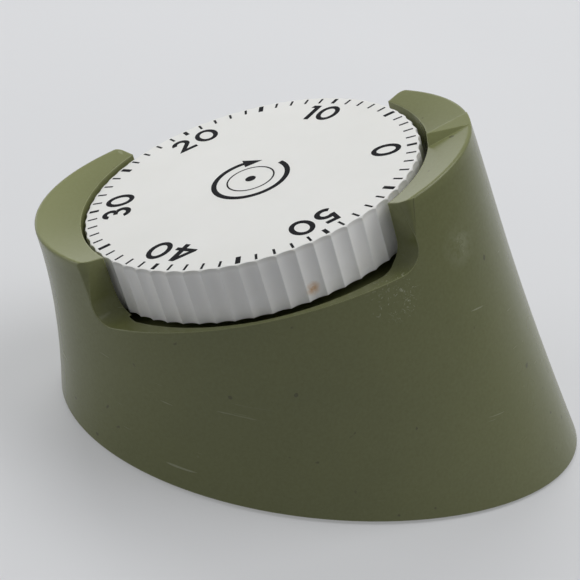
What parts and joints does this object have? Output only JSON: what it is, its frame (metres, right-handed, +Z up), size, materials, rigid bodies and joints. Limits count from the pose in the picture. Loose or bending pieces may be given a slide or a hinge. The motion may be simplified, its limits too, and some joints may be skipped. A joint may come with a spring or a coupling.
{
  "type": "interval timer",
  "caption": "Wind-up interval timer: oval slanted housing with a fluted turning dial, a pointer on the rim, gear train, bell and closed base.",
  "frame": {"origin": "under the middle of the whole part, on the surface that it stands on", "axes": "+Z up, +Y towards the high end of the sloping dial (the pointer's end), +X to the right of a reader who faces the dial"},
  "size_m": [0.0806, 0.1186, 0.07],
  "materials": {
    "green_plastic": "satin moulded",
    "white_plastic": "satin moulded",
    "black_plastic": "fine texture",
    "black_rubber": "matte",
    "brass": "rolled, lightly tarnished",
    "steel": "turned",
    "spring_steel": "blued",
    "plated_steel": "zinc plated",
    "fibre": "vulcanised fibre"
  },
  "bodies": {
    "housing": {"housing_shell": "green_plastic", "base_cover": "black_plastic", "rubber_feet": "black_rubber", "cover_screws": "plated_steel", "movement_screws": "plated_steel", "stop_pin": "steel", "front_plate": "brass", "back_plate": "brass", "plate_pillars": "steel", "pillar_nuts": "plated_steel", "front_bush": "brass", "back_bush": "brass", "mainspring": "spring_steel", "spring_post": "steel", "gong_bell": "plated_steel", "bell_post": "steel", "bell_washer": "fibre", "bell_screw": "plated_steel"},
    "dial": {"dial_knob": "white_plastic", "main_arbor": "steel", "arbor_clip": "spring_steel", "great_wheel": "brass", "ratchet_wheel": "steel", "ratchet_click": "steel", "click_spring": "spring_steel", "click_rivet": "steel", "strike_cam": "brass"},
    "second": {"second_arbor": "steel", "second_pinion": "steel", "second_wheel": "brass"},
    "third": {"third_arbor": "steel", "third_pinion": "steel", "third_wheel": "brass"},
    "escape": {"escape_arbor": "steel", "escape_pinion": "steel", "escape_wheel": "brass"},
    "verge": {"verge_arbor": "steel", "verge_anchor": "steel", "inertia_bar": "brass"},
    "hammer": {"strike_arbor": "steel", "cam_follower": "steel", "hammer_arm": "spring_steel", "hammer_head": "brass"}
  },
  "joints": [
    {"name": "dial_turn", "type": "hinge", "parent": "housing", "child": "dial", "pos_m": [0, -0.01725, 0.0518], "axis": [0, 0.3697, -0.9291], "range_deg": [0, 354]},
    {"name": "second_turn", "type": "hinge", "parent": "housing", "child": "second", "pos_m": [0.01608, -0.0109, 0.02419], "axis": [0, 0.3697, -0.9291], "range_deg": [-2266.73, 0]},
    {"name": "third_turn", "type": "hinge", "parent": "housing", "child": "third", "pos_m": [0.01754, 0.00204, 0.02934], "axis": [0, 0.3697, -0.9291], "range_deg": [0, 13600.4]},
    {"name": "escape_turn", "type": "hinge", "parent": "housing", "child": "escape", "pos_m": [0.01025, 0.01119, 0.03298], "axis": [0, 0.3697, -0.9291], "range_deg": [-81602.38, 0]},
    {"name": "verge_swing", "type": "hinge", "parent": "housing", "child": "verge", "pos_m": [0.00362, 0.01327, 0.03381], "axis": [0, 0.3697, -0.9291], "range_deg": [-5, 5]},
    {"name": "hammer_swing", "type": "hinge", "parent": "housing", "child": "hammer", "pos_m": [-0.01556, -0.01702, 0.02175], "axis": [0, -0.3697, 0.9291], "range_deg": [0, 12], "stiffness_Nm_per_rad": 0.002, "springref_deg": -11.46}
  ],
  "couplings": [
    {"joint": "second_turn", "follows": "dial_turn", "ratio": -6.4},
    {"joint": "third_turn", "follows": "dial_turn", "ratio": 38.4},
    {"joint": "escape_turn", "follows": "dial_turn", "ratio": -230.4}
  ]
}
